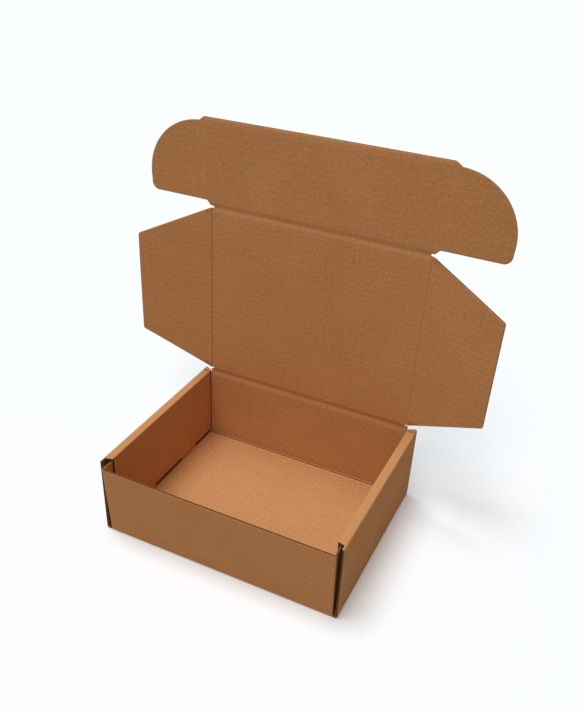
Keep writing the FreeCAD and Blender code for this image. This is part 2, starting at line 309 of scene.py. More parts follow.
class Turned:
    """A line through right-angled, rounded corners, and its mirror image for negative lengths along it."""

    def __init__(self, points, radii, hand):
        self.parts = []
        self.folds = []
        at = np.array(points[0], float)
        run = 0.0
        for i in range(1, len(points)):
            corner = np.array(points[i], float)
            direction = (corner - at) / np.linalg.norm(corner - at)
            side = hand * np.array([-direction[1], direction[0]])
            radius = radii[i]
            length = np.linalg.norm(corner - at) - radius
            self.parts.append((run, run + length, at, direction, side, 0.0))
            run += length
            if radius:
                arc = radius * math.pi / 2
                self.parts.append((run, run + arc, corner - direction * radius, direction, side, radius))
                self.folds.append((run + arc / 2, arc / 2, radius))
                run += arc
                at = corner + side * radius
        self.length = run

    def at(self, s):
        """Points and inward directions at lengths s along the line."""
        run = np.abs(s)
        point = np.zeros(s.shape + (2,))
        side = np.zeros(s.shape + (2,))
        for start, stop, origin, direction, inward, radius in self.parts:
            last = stop == self.length
            mine = (run >= start - 1e-9) & ((run <= stop + 1e-9) | last)
            along = (run - start)[..., None]
            if radius:
                turn = along / radius
                toward = inward * np.cos(turn) - direction * np.sin(turn)
                where = origin + inward * radius - toward * radius
            else:
                toward = inward + 0 * along
                where = origin + direction * along
            point[mine] = where[mine]
            side[mine] = toward[mine]
        sign = np.where(s < 0, -1.0, 1.0)
        point[..., 0] *= sign
        side[..., 0] *= sign
        return point, side

    def stations(self, step):
        """Places along the line: dense round the folds, spaced out on the straights."""
        places = set()
        for start, stop, origin, direction, inward, radius in self.parts:
            count = 6 if radius else max(1, int((stop - start) / step))
            places.update(np.linspace(start, stop, count + 1))
        for centre, half, radius in self.folds:
            places.update([centre - half - 1.6, centre - half - 0.8, centre + half + 0.8, centre + half + 1.6])
        places = np.array(sorted(p for p in places if 0 <= p <= self.length))
        return np.unique(np.concatenate([-places, places]))

    def thickness(self, s):
        """The board's thickness, crushed at each fold so that its inner side has room."""
        thick = np.full(s.shape, BOARD)
        crease = np.zeros(s.shape)
        for centre, half, radius in self.folds:
            fall = 1 - smooth((np.abs(np.abs(s) - centre) - half) / 1.8)
            thick = np.minimum(thick, BOARD - (BOARD - min(BOARD, radius - FOLD_SLACK)) * fall)
            crease = np.maximum(crease, 0.6 * fall)
        return thick, crease, np.zeros(s.shape)

    def length_at(self, x, part):
        """The length along the line at which its straight part number part reaches coordinate x."""
        start, stop, origin, direction, inward, radius = self.parts[part]
        axis = 0 if abs(direction[0]) > 0.5 else 1
        return start + (x - origin[axis]) / direction[axis]


def full_board(s, t):
    return np.full(s.shape, BOARD), np.zeros(s.shape), np.zeros(s.shape)


def steady(value):
    return lambda t: value


def sloped(t_a, t_b, value_a, value_b):
    return lambda t: value_a + (value_b - value_a) * (t - t_a) / (t_b - t_a)


def turned_about(points, pivot, degrees):
    """Points turned about a line through pivot along X."""
    c, s = math.cos(math.radians(degrees)), math.sin(math.radians(degrees))
    moved = points - np.array(pivot)
    y = moved[..., 1] * c - moved[..., 2] * s
    z = moved[..., 1] * s + moved[..., 2] * c
    return np.stack([moved[..., 0], y, z], axis=-1) + np.array(pivot)


# tray

side_line = Turned([(0, 0), (OUTER_X, 0), (OUTER_X, SIDE_HEIGHT), (ROLL_X, SIDE_HEIGHT), (ROLL_X, TAB_BOTTOM)],
                   [0, FOLD_RADIUS, FOLD_RADIUS, BOARD / 2, 0], 1)
back_line = Turned([(0, BACK_FACE_Y), (FLAP_X, BACK_FACE_Y), (FLAP_X, BACK_FACE_Y - CORNER_FLAP)],
                   [0, FOLD_RADIUS, 0], -1)
front_line = Turned([(0, FRONT_Y), (FLAP_X, FRONT_Y), (FLAP_X, FRONT_Y + CORNER_FLAP)], [0, FOLD_RADIUS, 0], 1)
heel_line = Turned([(0, 0), (BACK_FACE_Y, 0), (BACK_FACE_Y, 2 * FOLD_RADIUS)], [0, FOLD_RADIUS, 0], 1)


def place_side(s, t, depth):
    point, inward = side_line.at(s)
    point = point + inward * depth[..., None]
    return np.stack([point[..., 0], t, point[..., 1]], axis=-1)


def front_sink(distance):
    """How far the inner liner sinks at a distance from the front crease's pivot line."""
    return groove(distance, FRONT_SINK_REACH, FRONT_SINK) + groove(distance, CREASE_REACH, FRONT_LINE)


FRONT_SINK_ROWS = np.linspace(CREASE_REACH, FRONT_SINK_REACH, 5)


def past(length):
    """Painted shade: how dark a side of the board is past a fold at which it turns into a hollow."""
    return lambda s: HOLLOW_SHADE * smooth((np.abs(s) - length) / 2.0)


GAP_STATIONS = ROLL_X + np.array([-0.2, 0.0, 0.2, 0.4, 0.6])


def behind_ply(x):
    """Painted shade: how dark the base and the back wall are where an inner ply hides them."""
    return GAP_SHADE * smooth((np.abs(x) - ROLL_X + 0.2) / 0.8)


def on_base(s):
    return np.abs(s) < OUTER_X - FOLD_RADIUS


def press_side(s, t):
    thick, crease, shade = side_line.thickness(s)
    return thick - on_base(s) * front_sink(t - FRONT_PIVOT[1]), crease, shade


def inside_of_side(s):
    """Painted shade on the inner liner: on the base where a ply hides it, and on the plies inside the rolled edges."""
    return np.where(on_base(s), behind_ply(s), past(OUTER_X)(s))


def side_stretches():
    """The band of board from one inner ply to the other, cut into stretches between the places where it changes."""
    strip_start = side_line.length_at(OUTER_PLY_X, 4)
    strip_end = side_line.folds[2][0] + side_line.folds[2][1]
    ply_end = side_line.length_at(PLY_BOTTOM, 6)
    tab_end = side_line.length
    roll_end = side_line.length_at(ROLL_X + BOARD / 2, 4)
    front_base = FRONT_PIVOT[1] + CREASE_REACH
    heel = BACK_FACE_Y - 2 * FOLD_RADIUS
    ply_back = BACK_FACE_Y - BOARD - PLY_BACK_GAP
    slots = [(a - SLOT_GAP, b + SLOT_GAP) for a, b in TABS]
    breaks = [FRONT_Y, front_base, FRONT_Y + ROLL_FRONT[0], FRONT_Y + ROLL_FRONT[1], FRONT_Y + PLY_FRONT]
    for (a, b), (c, d) in zip(TABS, slots):
        breaks += [c, a, b, d]
    breaks += [heel, ply_back, BACK_Y - ROLL_BACK, BACK_Y]
    found = []
    for a, b in zip(breaks, breaks[1:]):
        middle = (a + b) / 2
        ends = (ply_end, ply_end)
        if any(low < middle < high for low, high in TABS):
            ends = (tab_end, tab_end)
        if middle < FRONT_Y + PLY_FRONT or middle > ply_back:
            ends = (strip_end, strip_end)
        if middle > BACK_Y - ROLL_BACK:
            ends = (roll_end, strip_start)
        if middle < FRONT_Y + ROLL_FRONT[1]:
            ends = (strip_start, roll_end)
        if middle < FRONT_Y + ROLL_FRONT[0]:
            ends = (strip_start, strip_start)
        gap = None
        if any(low < middle < high for low, high in slots):
            gap = (ROLL_X - SLOT_GAP, ROLL_X + BOARD + SLOT_GAP)
        if middle < front_base or middle > heel:
            gap = (0.0, FLAP_X + SLIDE)
        found.append((a, b, ends, gap))
    return found


def make_tray():
    piece = Piece()
    stations = side_line.stations(30.0)
    edges = np.array([ROLL_X - SLOT_GAP, ROLL_X + BOARD + SLOT_GAP, FLAP_X + SLIDE])
    stations = np.unique(np.concatenate([stations, edges, -edges, GAP_STATIONS, -GAP_STATIONS]))
    for a, b, ends, gap in side_stretches():
        outer = sloped(a, b, ends[0], ends[1])
        inner_low = sloped(a, b, -ends[0], -ends[1])
        rows = (a == FRONT_Y, b == BACK_Y)
        if gap is None:
            spans = [(inner_low, outer, (True, True))]
        else:
            spans = [(inner_low, steady(-gap[1]), (True, False)), (steady(gap[1]), outer, (False, True))]
            if gap[0]:
                spans.append((steady(-gap[0]), steady(gap[0]), (False, False)))
        for low, high, soft in spans:
            lay_board(piece, (a, b), low, high, stations, place_side, press_side, soft, rows,
                      FRONT_PIVOT[1] + FRONT_SINK_ROWS, hidden_inside=inside_of_side)

    def place_heel(s, t, depth):
        point, inward = heel_line.at(t)
        point = point + inward * depth[..., None]
        return np.stack([s, point[..., 0], point[..., 1]], axis=-1)

    groove_at = heel_line.folds[0][0] + HEEL_GROOVE_SHIFT

    def press_heel(s, t):
        thick, crease, shade = heel_line.thickness(t)
        # painted shade along the heel groove
        line = groove(t - groove_at, HEEL_GROOVE_REACH, 1.0)
        return thick - HEEL_GROOVE * line, crease, shade + HEEL_SHADE * line

    heel = BACK_FACE_Y - 2 * FOLD_RADIUS
    heel_rows = [r for r in heel_line.stations(20.0) if heel < r < heel_line.length]
    heel_rows += list(groove_at + HEEL_GROOVE_REACH * np.linspace(-1, 1, 9))
    across = spaced(-FLAP_X, FLAP_X, 30.0)
    lay_board(piece, (heel, heel_line.length), steady(-FLAP_X), steady(FLAP_X), across, place_heel, press_heel,
              (True, True), (False, False), heel_rows)

    def place_back(s, t, depth):
        point, inward = back_line.at(s)
        point = point + inward * depth[..., None]
        return np.stack([point[..., 0], point[..., 1], t], axis=-1)

    def press_back(s, t):
        thick, crease, shade = back_line.thickness(s)
        return thick - score(t - LID_PIVOT[2], BACK_SCORE), crease, shade

    back_stations = np.unique(np.concatenate([back_line.stations(30.0), GAP_STATIONS, -GAP_STATIONS]))
    end = back_line.length
    foot = 2 * FOLD_RADIUS
    blank = (0.0, BACK_FACE_Y)
    lay_board(piece, (foot, LOWER_BACK_TOP), steady(-end), steady(end), back_stations, place_back, press_back,
              (True, True), (False, False), LID_PIVOT[2] + SCORE_ROWS, blank, past(FLAP_X), behind_ply)
    lay_board(piece, (LOWER_BACK_TOP, LID_PIVOT[2] - CREASE_REACH), steady(-TONGUE_X), steady(TONGUE_X), back_stations,
              place_back, press_back, (True, True), (False, False), LID_PIVOT[2] + SCORE_ROWS, blank)
    return piece


def make_front_wall():
    piece = Piece()

    def place(s, t, depth):
        point, inward = front_line.at(s)
        point = point + inward * depth[..., None]
        return turned_about(np.stack([point[..., 0], point[..., 1], t], axis=-1), FRONT_PIVOT, FRONT_LEAN)

    def press(s, t):
        thick, crease, shade = front_line.thickness(s)
        return thick - front_sink(t - FRONT_PIVOT[2]), crease, shade

    stations = front_line.stations(16.0)
    corner_start = front_line.folds[0][0] - front_line.folds[0][1]
    corner = front_line.folds[0][0] + front_line.folds[0][1]
    end = front_line.length
    foot = FRONT_PIVOT[2] + CREASE_REACH
    blank = (0.0, FRONT_Y - FRONT_HEIGHT)
    for low, high in ((-corner, -corner_start), (corner_start, corner)):
        lay_board(piece, (FRONT_FOOT, foot), steady(low), steady(high), stations, place, press,
                  (False, False), (False, False), (), blank)
    levels = [foot, FLAP_FOOT, FLAP_FOOT + FLAP_RISE, FRONT_HEIGHT - FLAP_DROP, FRONT_HEIGHT]
    sink_rows = FRONT_PIVOT[2] + FRONT_SINK_ROWS
    widths = [(corner, corner), (corner, end), (end, end), (end, corner)]
    for a, b, (first, last) in zip(levels, levels[1:], widths):
        lay_board(piece, (a, b), sloped(a, b, -first, -last), sloped(a, b, first, last), stations, place, press,
                  (True, True), (False, b == FRONT_HEIGHT), sink_rows, blank, past(FLAP_X))
    return piece


# lid and its flaps, each in its own frame: X across, Z up the panel, outer liner towards +Y

def on_lid(points):
    c, s = math.cos(math.radians(LID_LEAN)), math.sin(math.radians(LID_LEAN))
    y = points[..., 1] * c + points[..., 2] * s
    z = points[..., 2] * c - points[..., 1] * s
    return np.stack([points[..., 0], y, z], axis=-1) + np.array(LID_PIVOT)


def on_tuck(points):
    moved = turned_about(points, (0, 0, 0), TUCK_ANGLE)
    return on_lid(moved + np.array([0, 0, LID_LENGTH]))


def beside_lid(points, side):
    """A right-hand dust piece at its angle to the lid, mirrored for the left side."""
    angle = math.radians(-DUST_ANGLES[side])
    c, s = math.cos(angle), math.sin(angle)
    x = points[..., 0] * c - points[..., 1] * s + LID_EDGE
    y = points[..., 0] * s + points[..., 1] * c
    if side == "left":
        x = -x
    return on_lid(np.stack([x, y, points[..., 2]], axis=-1))


def flat(s, t, depth, lift=0.0):
    return np.stack([s, PIVOT_DEPTH - depth + lift, t], axis=-1)


def groove(distance, reach, dip):
    """How far the inner liner sinks at a distance from a crease's middle."""
    return dip * (1 - smooth(np.abs(distance) / reach))


def score(distance, middle):
    """How far the inner liner sinks beside one of the lid's long creases, at a distance from its pivot line."""
    distance = distance - middle
    return groove(distance, SCORE_REACH, SCORE_DIP) + groove(distance, CREASE_REACH, SCORE_LINE)


SCORE_ROWS = np.arange(-8.4, 5.6, 0.7)


def make_lid():
    piece = Piece()
    half = LID_EDGE - NARROW_REACH

    def place(s, t, depth):
        rise = np.sin(np.clip((t - CREASE_REACH) / (LID_LENGTH - 2 * CREASE_REACH), 0, 1) * math.pi)
        bow = 0.8 * np.cos(s / half * math.pi / 2) * rise
        ripple = 0.18 * np.sin(s / 31 + 1.0) * np.sin(t / 23 + 0.4) * rise * np.clip((half - np.abs(s)) / 12, 0, 1)
        return on_lid(flat(s, t, depth, bow + ripple))

    def press(s, t):
        thick, crease, shade = full_board(s, t)
        sunk = dust_groove(-NARROW_REACH + half - np.abs(s))
        return thick - sunk - score(t, BACK_SCORE) - score(t - LID_LENGTH, FRONT_SCORE), crease, shade

    edges = half - np.array([0.0, 0.2, 0.4])
    stations = np.sort(np.concatenate([spaced(-half + 6, half - 6, 12.0), edges, -edges]))
    rows = np.concatenate([SCORE_ROWS, LID_LENGTH + SCORE_ROWS])
    lay_board(piece, (CREASE_REACH, LID_LENGTH - CREASE_REACH), steady(-half), steady(half), stations, place, press,
              (False, False), (False, False), rows, LID_BLANK)
    return piece


def dust_groove(x):
    """The groove of a dust flap's crease, at a distance x outwards from where the lid ends."""
    return groove(x - DUST_GROOVE_MIDDLE, DUST_GROOVE_REACH, DUST_DIP)


# painted shade: a dark line down a dust crease's groove
def dust_shade(x, side):
    return groove(x - DUST_GROOVE_MIDDLE, DUST_SHADE_REACH, DUST_SHADES[side])


def make_dust_crease(side):
    piece = Piece()
    start, stop = NARROW_REACH, DUST_CREASE - STRIP_REACH
    sign = -1 if side == "left" else 1

    def place(s, t, depth):
        return beside_lid(flat(s, t, depth), side)

    def press(s, t):
        return BOARD - dust_groove(s), np.zeros(s.shape), dust_shade(s, side)

    blank = (sign * LID_EDGE, LID_BLANK[1])
    lay_board(piece, (DUST_START, LID_LENGTH - DUST_START), steady(start), steady(stop), np.array([0.8]), place, press,
              (False, False), (True, True), (), blank)
    return piece


def dust_edges(s):
    """Heights of a dust flap's back and front edges at a distance s from the lid's edge."""
    share = np.clip((s - DUST_CREASE) / DUST_DEPTH, 0, 1)
    low = DUST_START + (DUST_BACK_CUT - DUST_START) * share
    high = LID_LENGTH - DUST_START - (DUST_FRONT_CUT - DUST_START) * share
    return low, high


def make_dust_flap(side):
    piece = Piece()
    near = DUST_CREASE + CREASE_REACH
    far = DUST_CREASE + DUST_DEPTH
    low_end, high_end = (float(z) for z in dust_edges(near))
    outline = rounded([(near, low_end), (far, DUST_BACK_CUT), (far, LID_LENGTH - DUST_FRONT_CUT), (near, high_end)],
                      [0, DUST_RADIUS, DUST_RADIUS, 0])
    sign = -1 if side == "left" else 1

    def place(s, t, depth):
        share = np.clip((s - near) / DUST_DEPTH, 0, 1)
        curl = -1.1 * share ** 2 + 0.25 * share * np.sin(t / 29 + (0.6 if side == "left" else 2.0))
        return beside_lid(flat(s, t, depth, curl), side)

    stations = spaced(near + 3, far - 1, 10.0)
    rows = [t for s, t in outline]
    blank = (sign * LID_EDGE, LID_BLANK[1])
    lay_board(piece, (low_end, high_end), steady(near), along(outline), stations, place, full_board, (False, True),
              (False, False), rows, blank)
    return piece


def rounded(points, radii):
    """An open outline with rounded corners, as a list of points."""
    made = []
    for i, (corner, radius) in enumerate(zip(points, radii)):
        corner = np.array(corner, float)
        if not radius:
            made.append(corner)
            continue
        back = np.array(points[i - 1], float) - corner
        ahead = np.array(points[i + 1], float) - corner
        back, ahead = back / np.linalg.norm(back), ahead / np.linalg.norm(ahead)
        half = math.acos(np.clip(back @ ahead, -1, 1)) / 2
        run = radius / math.tan(half)
        centre = corner + (back + ahead) / np.linalg.norm(back + ahead) * radius / math.sin(half)
        start, stop = corner + back * run - centre, corner + ahead * run - centre
        made += [centre + bent(start, stop, share) for share in np.linspace(0, 1, 7)]
    return [(float(x), float(z)) for x, z in made]


def bent(start, stop, share):
    """A point on the arc from one spoke to another of the same length."""
    angle = math.acos(np.clip(start @ stop / (start @ start), -1, 1))
    return (start * math.sin((1 - share) * angle) + stop * math.sin(share * angle)) / math.sin(angle)


def along(outline):
    """The outline's reach at each height, for an outline that never turns back."""
    heights = np.array([t for s, t in outline])
    reaches = np.array([s for s, t in outline])
    order = np.argsort(heights, kind="stable")
    return lambda t: float(np.interp(t, heights[order], reaches[order]))


def tuck_reach(t):
    """Half the tuck flap's width at a height above its crease."""
    return np.interp(t, [0, NOTCH_HEIGHT], [TUCK_ROOT, TUCK_ROOT + NOTCH_WIDTH])


def make_tuck_flap():
    piece = Piece()
    half = EAR_PIVOT - CREASE_REACH

    def place(s, t, depth):
        rise = np.sin(np.clip((t - CREASE_REACH) / TUCK_HEIGHT, 0, 1) * math.pi * 0.62)
        return on_tuck(flat(s, t, depth, 0.7 * np.cos(s / half * math.pi / 2) * rise))

    def press(s, t):
        return BOARD - score(t, FRONT_SCORE), np.zeros(s.shape), np.zeros(s.shape)

    stations = spaced(-half + 2, half - 2, 12.0)
    low_reach, high_reach = (float(tuck_reach(t)) for t in (CREASE_REACH, NOTCH_HEIGHT))
    foot = (CREASE_REACH, NOTCH_HEIGHT, low_reach, high_reach, (True, True), (False, False))
    body = (NOTCH_HEIGHT, TUCK_HEIGHT, half, half, (False, False), (False, True))
    for a, b, first, last, soft, soft_rows in (foot, body):
        lay_board(piece, (a, b), sloped(a, b, -first, -last), sloped(a, b, first, last), stations, place, press,
                  soft, soft_rows, SCORE_ROWS, TUCK_BLANK)
    return piece


def ear_top(x):
    """Height of the top edge where the tuck flap runs into an ear, at a distance x from the middle."""
    heights = [TUCK_HEIGHT, TUCK_HEIGHT, TUCK_HEIGHT - TUCK_BEVEL]
    return np.interp(x, [0, TUCK_TOP, EAR_NEAR + TUCK_BEVEL], heights)


def ear_outline():
    near = EAR_PIVOT + CREASE_REACH
    tip = EAR_PIVOT + EAR_REACH
    corner = rounded([(tip - 20, NOTCH_HEIGHT), (tip, NOTCH_HEIGHT), (tip, EAR_FOOT)], [0, EAR_RADIUS, 0])[1:]
    foot = np.array([tip, EAR_FOOT])
    shoulder = np.array([EAR_NEAR + TUCK_BEVEL, TUCK_HEIGHT - TUCK_BEVEL])
    chord = foot - shoulder
    reach = np.linalg.norm(chord)
    radius = (reach ** 2 / 4 + EAR_BOW ** 2) / (2 * EAR_BOW)
    outward = np.array([-chord[1], chord[0]]) / reach
    centre = (foot + shoulder) / 2 - outward * (radius - EAR_BOW)
    arc = [centre + bent(foot - centre, shoulder - centre, share) for share in np.linspace(0, 1, 31)[1:]]
    return corner + [(float(x), float(z)) for x, z in arc] + [(near, float(ear_top(near)))]


def make_lock_ear(side):
    piece = Piece()
    near = EAR_PIVOT + CREASE_REACH
    sign = -1 if side == "left" else 1
    outline = ear_outline()

    def place(s, t, depth):
        points = flat(s, t, depth)
        points[..., 0] *= sign
        return on_tuck(points)

    stations = spaced(near + 3, near + EAR_REACH - 5, 10.0)
    rows = [t for s, t in outline]
    lay_board(piece, (NOTCH_HEIGHT, outline[-1][1]), steady(near), along(outline), stations, place, full_board,
              (False, True), (True, False), rows, TUCK_BLANK)
    return piece


def no_shade(distance):
    return 0 * distance


def make_bridge(base, run, towards, outward, turn, ends, reach, dip_at, blank, shade_at=no_shade, sink=CREASE_DIP):
    """The board across one moving crease: run along it, towards across it, outward from its outer liner.

    ends(d) gives where it starts and stops along the crease, at a distance d across it. dip_at(d) gives how far its
    inner liner sinks there, and shade_at(d) how dark the painted shade in its line is. sink is how far its outer liner
    sinks. At rest it already turns by turn degrees.
    """
    piece = Piece()
    run, towards, outward = (np.array(v, float) for v in (run, towards, outward))
    across = np.linspace(-reach[0], reach[1], 15)
    low, high = ends(across)
    share = np.linspace(0, 1, 22)
    s = low[:, None] + (high - low)[:, None] * share
    t = np.repeat(across[:, None], len(share), axis=1)
    angle = np.radians(turn) * smooth((t + reach[0]) / sum(reach))
    axis = np.cross(towards, outward)

    def spun(vector):
        c, sn = np.cos(angle)[..., None], np.sin(angle)[..., None]
        return vector * c + np.cross(axis, vector) * sn

    def layer(depth):
        y = (PIVOT_DEPTH - depth)[..., None]
        return np.array(base) + run * s[..., None] + spun(towards) * t[..., None] + spun(outward) * y

    line = groove(t, min(reach), 1.0)
    along_run, across_run = blank
    sheet = np.stack([along_run(s, t), across_run(s, t), np.zeros_like(s)], axis=2)
    marks = np.stack([line, np.zeros_like(s), shade_at(t)], axis=2)
    low_face = BOARD - dip_at(t)
    top, bottom = layer(sink * line), layer(low_face)
    piece.grid(top, sheet, marks, OUTSIDE, bottom)
    piece.grid(bottom, sheet + np.array([0, 0, 90.0]), marks, INSIDE, top)
    middle = top.mean(axis=(0, 1))
    for pick in (np.s_[0, :], np.s_[-1, :], np.s_[:, 0], np.s_[:, -1]):
        wall = np.stack([top[pick], bottom[pick]])
        pair = np.stack([sheet[pick], sheet[pick] + np.array([0, 0, 1.0])])
        piece.grid(wall, pair, np.stack([marks[pick]] * 2), CUT, wall + (middle - wall) * 0.01)
    return piece


# materials

def node_tools(material):
    tree = material.node_tree
    tree.nodes.clear()

    def add(kind, **settings):
        node = tree.nodes.new(kind)
        for key, value in settings.items():
            if key.startswith("in_"):
                node.inputs[key[3:].replace("_", " ")].default_value = value
            else:
                setattr(node, key, value)
        return node

    def link(source, target):
        tree.links.new(source, target)

    return add, link


def kraft(name, light, dark, stripe, uneven_tone, fleck, bump_depth):
    """Kraft paper over flutes: mottled, fibrous and flecked, with the flutes' faint ribs, paler creases and painted
    shade.
    """
    material = bpy.data.materials.new(name)
    material.use_nodes = True
    add, link = node_tools(material)

    def math_of(operation, first, second, clamp=False):
        node = add("ShaderNodeMath", operation=operation, use_clamp=clamp)
        for socket, value in zip(node.inputs, (first, second)):
            if isinstance(value, (int, float)):
                socket.default_value = value
            else:
                link(value, socket)
        return node.outputs[0]

    def noise(vector, scale, detail, roughness=0.55):
        node = add("ShaderNodeTexNoise", in_Scale=scale, in_Detail=detail, in_Roughness=roughness)
        link(vector, node.inputs["Vector"])
        return node.outputs["Fac"]

    def stretched(scale, turn):
        node = add("ShaderNodeMapping", vector_type="POINT")
        node.inputs["Scale"].default_value = scale
        node.inputs["Rotation"].default_value = (0, 0, math.radians(turn))
        link(sheet, node.inputs["Vector"])
        return node.outputs["Vector"]

    sheet = add("ShaderNodeAttribute", attribute_name="sheet").outputs["Vector"]
    marks = add("ShaderNodeAttribute", attribute_name="marks").outputs["Vector"]
    parts = add("ShaderNodeSeparateXYZ")
    link(sheet, parts.inputs[0])
    mark = add("ShaderNodeSeparateXYZ")
    link(marks, mark.inputs[0])

    cloud = noise(sheet, 0.02, 3.0)
    mottle = noise(stretched((0.28, 0.3, 1.0), 0), 1.0, 3.0, 0.6)
    grain = noise(stretched((0.5, 0.55, 1.0), 0), 1.0, 4.0, 0.6)
    fibre = noise(stretched((3.6, 0.5, 1.0), 6), 1.0, 4.0, 0.65)
    cross_fibre = noise(stretched((0.5, 2.6, 1.0), -8), 1.0, 4.0, 0.65)
    specks = noise(stretched((1.1, 0.8, 1.0), 20), 1.0, 2.0, 0.5)
    uneven = noise(stretched((0.035, 0.12, 1.0), 0), 1.0, 2.0, 0.5)
    flutes = math_of("SINE", math_of("MULTIPLY", parts.outputs["Y"], 2 * math.pi / FLUTE_PITCH), 0.0)
    wave = math_of("MULTIPLY", flutes, math_of("MULTIPLY", math_of("SUBTRACT", uneven, 0.3, True), 2.6, True))

    level = math_of("MULTIPLY_ADD", cloud, 0.36)
    level.node.inputs[2].default_value = -0.05
    total = level
    for value, amount in ((mottle, 0.9), (grain, 1.7), (fibre, 0.5), (cross_fibre, 0.4)):
        total = math_of("ADD", total, math_of("MULTIPLY", math_of("SUBTRACT", value, 0.5), amount * uneven_tone))
    total = math_of("ADD", total, math_of("MULTIPLY", wave, stripe))
    total = math_of("ADD", total, math_of("MULTIPLY", mark.outputs["X"], 0.10))
    # painted shade: darker along the pinched cut edges
    total = math_of("ADD", total, math_of("MULTIPLY", mark.outputs["Y"], -0.55))
    total = math_of("ADD", total, 0.36, True)

    colour = add("ShaderNodeMix", data_type="RGBA")
    colour.inputs["A"].default_value = dark + (1,)
    colour.inputs["B"].default_value = light + (1,)
    link(total, colour.inputs["Factor"])

    ramp = add("ShaderNodeValToRGB")
    ramp.color_ramp.elements[0].position = 0.24
    ramp.color_ramp.elements[0].color = (1, 1, 1, 1)
    ramp.color_ramp.elements[1].position = 0.32
    ramp.color_ramp.elements[1].color = (0, 0, 0, 1)
    link(specks, ramp.inputs["Fac"])
    flecked = add("ShaderNodeMix", data_type="RGBA")
    flecked.inputs["B"].default_value = tuple(0.45 * c for c in dark) + (1,)
    link(math_of("MULTIPLY", ramp.outputs["Color"], fleck), flecked.inputs["Factor"])
    link(colour.outputs["Result"], flecked.inputs["A"])

    # painted shade: the marks' third value darkens crease lines, gaps behind the plies and hollows towards near-black
    painted_shade_mix = add("ShaderNodeMix", data_type="RGBA")
    painted_shade_mix.inputs["B"].default_value = tuple(0.12 * c for c in dark) + (1,)
    link(mark.outputs["Z"], painted_shade_mix.inputs["Factor"])
    link(flecked.outputs["Result"], painted_shade_mix.inputs["A"])

    shader = add("ShaderNodeBsdfPrincipled")
    shader.inputs["Specular IOR Level"].default_value = 0.14
    link(painted_shade_mix.outputs["Result"], shader.inputs["Base Color"])
    rough = math_of("ADD", 0.78, math_of("MULTIPLY", mottle, 0.2))
    link(rough, shader.inputs["Roughness"])

    height = math_of("MULTIPLY", wave, 0.3)
    for value, amount in ((fibre, 0.5), (cross_fibre, 0.5), (grain, 0.6), (mottle, 0.8), (cloud, 1.6)):
        height = math_of("ADD", height, math_of("MULTIPLY", value, amount))
    bump = add("ShaderNodeBump", in_Strength=1.0, in_Distance=bump_depth)
    link(height, bump.inputs["Height"])
    link(bump.outputs["Normal"], shader.inputs["Normal"])
    output = add("ShaderNodeOutputMaterial")
    link(shader.outputs["BSDF"], output.inputs["Surface"])
    return material


def shown_to(add, link):
    """One for the rays that show the background: the camera's, and those by way of glossy or clear surfaces."""
    path = add("ShaderNodeLightPath")
    shown = path.outputs["Is Camera Ray"]
    for name in ("Is Glossy Ray", "Is Transmission Ray"):
        either = add("ShaderNodeMath", operation="MAXIMUM")
        link(shown, either.inputs[0])
        link(path.outputs[name], either.inputs[1])
        shown = either.outputs[0]
    return shown


def floor_material():
    """Pale matt floor: white to the camera with the box's shadow on it, and of a middling tone to the box."""
    material = bpy.data.materials.new("pale_floor")
    material.use_nodes = True
    add, link = node_tools(material)
    plain = add("ShaderNodeBsdfDiffuse")
    plain.inputs["Color"].default_value = (0.44, 0.39, 0.34, 1)
    pale = add("ShaderNodeBsdfDiffuse")
    pale.inputs["Color"].default_value = (0.92, 0.90, 0.89, 1)
    glow = add("ShaderNodeEmission", in_Strength=0.07)
    white = add("ShaderNodeAddShader")
    link(pale.outputs[0], white.inputs[0])
    link(glow.outputs[0], white.inputs[1])
    choice = add("ShaderNodeMixShader")
    link(shown_to(add, link), choice.inputs["Fac"])
    link(plain.outputs[0], choice.inputs[1])
    link(white.outputs[0], choice.inputs[2])
    output = add("ShaderNodeOutputMaterial")
    link(choice.outputs[0], output.inputs["Surface"])
    return material


def make_world():
    world = bpy.data.worlds.new("studio")
    bpy.context.scene.world = world
    world.use_nodes = True
    add, link = node_tools(world)
    ambient = add("ShaderNodeBackground", in_Strength=0.25)
    ambient.inputs["Color"].default_value = (1.0, 0.95, 0.89, 1)
    white = add("ShaderNodeBackground", in_Strength=1.0)
    white.inputs["Color"].default_value = (1, 1, 1, 1)
    choice = add("ShaderNodeMixShader")
    link(shown_to(add, link), choice.inputs["Fac"])
    link(ambient.outputs[0], choice.inputs[1])
    link(white.outputs[0], choice.inputs[2])
    output = add("ShaderNodeOutputWorld")
    link(choice.outputs[0], output.inputs["Surface"])


def make_lights():
    def lamp(name, kind, energy):
        data = bpy.data.lights.new(name, kind)
        data.energy = energy
        made = bpy.data.objects.new(name, data)
        bpy.context.scene.collection.objects.link(made)
        return made

    def aim(made, direction):
        made.rotation_euler = Vector(direction).to_track_quat("Z", "Y").to_euler()

    key = lamp("key_light", "SUN", 1.85)
    key.data.angle = math.radians(28)
    key.data.color = (0.89, 1.03, 1.14)
    aim(key, (-0.225, -0.04, 0.97))
    fill = lamp("front_fill", "SUN", 0.87)
    fill.data.angle = math.radians(30)
    fill.data.color = (1.0, 0.95, 0.90)
    aim(fill, (0.05, -0.58, 0.81))


def make_floor(material):
    mesh = bpy.data.meshes.new("floor")
    reach = 12.0
    count = 12
    steps = [(i / count - 0.5) * 2 * reach for i in range(count + 1)]
    points = [(x, y, -0.0004) for y in steps for x in steps]
    faces = []
    for i in range(count):
        for j in range(count):
            a = i * (count + 1) + j
            faces.append((a, a + 1, a + count + 2, a + count + 1))
    mesh.from_pydata(points, [], faces)
    mesh.materials.append(material)
    floor = bpy.data.objects.new("floor", mesh)
    bpy.context.scene.collection.objects.link(floor)


